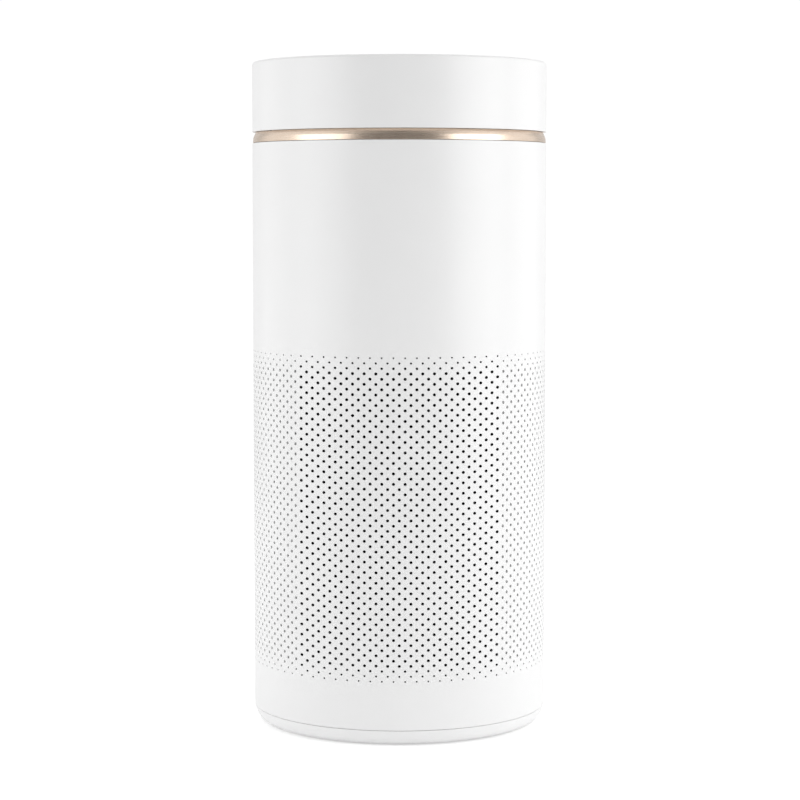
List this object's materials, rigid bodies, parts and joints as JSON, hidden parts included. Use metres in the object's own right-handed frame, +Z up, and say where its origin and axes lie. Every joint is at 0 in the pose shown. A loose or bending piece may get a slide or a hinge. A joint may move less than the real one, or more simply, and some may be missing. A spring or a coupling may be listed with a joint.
{
  "type": "air purifier",
  "caption": "Round room air purifier: white perforated casing, slanted metallic trim band, plain head with a ring outlet, lift-off filter door at the rear and a fan over a drum filter.",
  "frame": {"origin": "middle of the footprint, at floor level", "axes": "+Z up, the control side faces -Y, the filter door and mains inlet are at +Y"},
  "size_m": [0.264, 0.264, 0.593],
  "materials": {
    "white_plastic": "satin-gloss moulded ABS",
    "grey_plastic": "fine matt moulded",
    "dark_plastic": "matt moulded",
    "champagne_metal": "satin anodised champagne",
    "smoked_lens": "polished smoked",
    "steel": "plated",
    "brass_pin": "polished",
    "rubber": "matt",
    "filter_paper": "fibrous",
    "carbon": "granular",
    "filter_mesh": "fine woven mesh",
    "circuit_board": "solder mask",
    "copper_winding": "enamelled wire"
  },
  "bodies": {
    "housing": {"air_duct": "grey_plastic", "base_screw_front": "steel", "base_screw_left": "steel", "base_screw_right": "steel", "base_tray": "white_plastic", "bearing_lower": "steel", "bearing_upper": "steel", "column_left": "grey_plastic", "column_right": "grey_plastic", "control_board": "circuit_board", "control_panel": "white_plastic", "control_pod": "white_plastic", "display_lens": "smoked_lens", "fan_deck": "grey_plastic", "filter_deck": "grey_plastic", "finger_cup": "white_plastic", "foot_front_left": "rubber", "foot_front_right": "rubber", "foot_rear_left": "rubber", "foot_rear_right": "rubber", "guide_vanes": "grey_plastic", "head_frame": "grey_plastic", "head_ring": "white_plastic", "inlet_guard": "dark_plastic", "inlet_pin_left": "brass_pin", "inlet_pin_right": "brass_pin", "keeper_left": "steel", "keeper_right": "steel", "main_loom": "rubber", "motor_gasket": "rubber", "motor_mount": "grey_plastic", "motor_screw_1": "steel", "motor_screw_2": "steel", "motor_screw_3": "steel", "motor_stator": "copper_winding", "outer_barrel": "white_plastic", "outlet_grille": "white_plastic", "particle_sensor": "dark_plastic", "power_board": "circuit_board", "power_inlet": "dark_plastic", "sensor_grille": "white_plastic", "trim_ring": "champagne_metal"},
    "fan_rotor": {"impeller": "dark_plastic", "impeller_shroud": "dark_plastic", "rotor_cup": "steel", "fan_shaft": "steel", "fan_nut": "steel"},
    "rear_door": {"rear_door": "white_plastic", "door_magnet_left": "steel", "door_magnet_right": "steel"},
    "filter_cartridge": {"filter_bottom_cap": "dark_plastic", "carbon_sleeve": "carbon", "hepa_media": "filter_paper", "prefilter_mesh": "filter_mesh", "filter_top_cap": "dark_plastic", "filter_seal": "rubber"},
    "power_key": {"power_key": "white_plastic"},
    "speed_key": {"speed_key": "white_plastic"},
    "mode_key": {"mode_key": "white_plastic"},
    "timer_key": {"timer_key": "white_plastic"}
  },
  "joints": [
    {"name": "fan_spin", "type": "hinge", "parent": "housing", "child": "fan_rotor", "pos_m": [0, 0, 0.4], "axis": [0, 0, 1], "continuous": true},
    {"name": "door_pull", "type": "slide", "parent": "housing", "child": "rear_door", "axis": [0, 1, 0], "range_m": [0, 0.32]},
    {"name": "filter_pull", "type": "slide", "parent": "housing", "child": "filter_cartridge", "axis": [0, 1, 0], "range_m": [0, 0.24]},
    {"name": "power_press", "type": "slide", "parent": "housing", "child": "power_key", "axis": [0, 0, -1], "range_m": [0, 0.0008], "stiffness_N_per_m": 1500},
    {"name": "speed_press", "type": "slide", "parent": "housing", "child": "speed_key", "axis": [0, 0, -1], "range_m": [0, 0.0008], "stiffness_N_per_m": 1500},
    {"name": "mode_press", "type": "slide", "parent": "housing", "child": "mode_key", "axis": [0, 0, -1], "range_m": [0, 0.0008], "stiffness_N_per_m": 1500},
    {"name": "timer_press", "type": "slide", "parent": "housing", "child": "timer_key", "axis": [0, 0, -1], "range_m": [0, 0.0008], "stiffness_N_per_m": 1500}
  ],
  "couplings": [
    {"joint": "filter_pull", "follows": "door_pull", "ratio": 0.75}
  ]
}
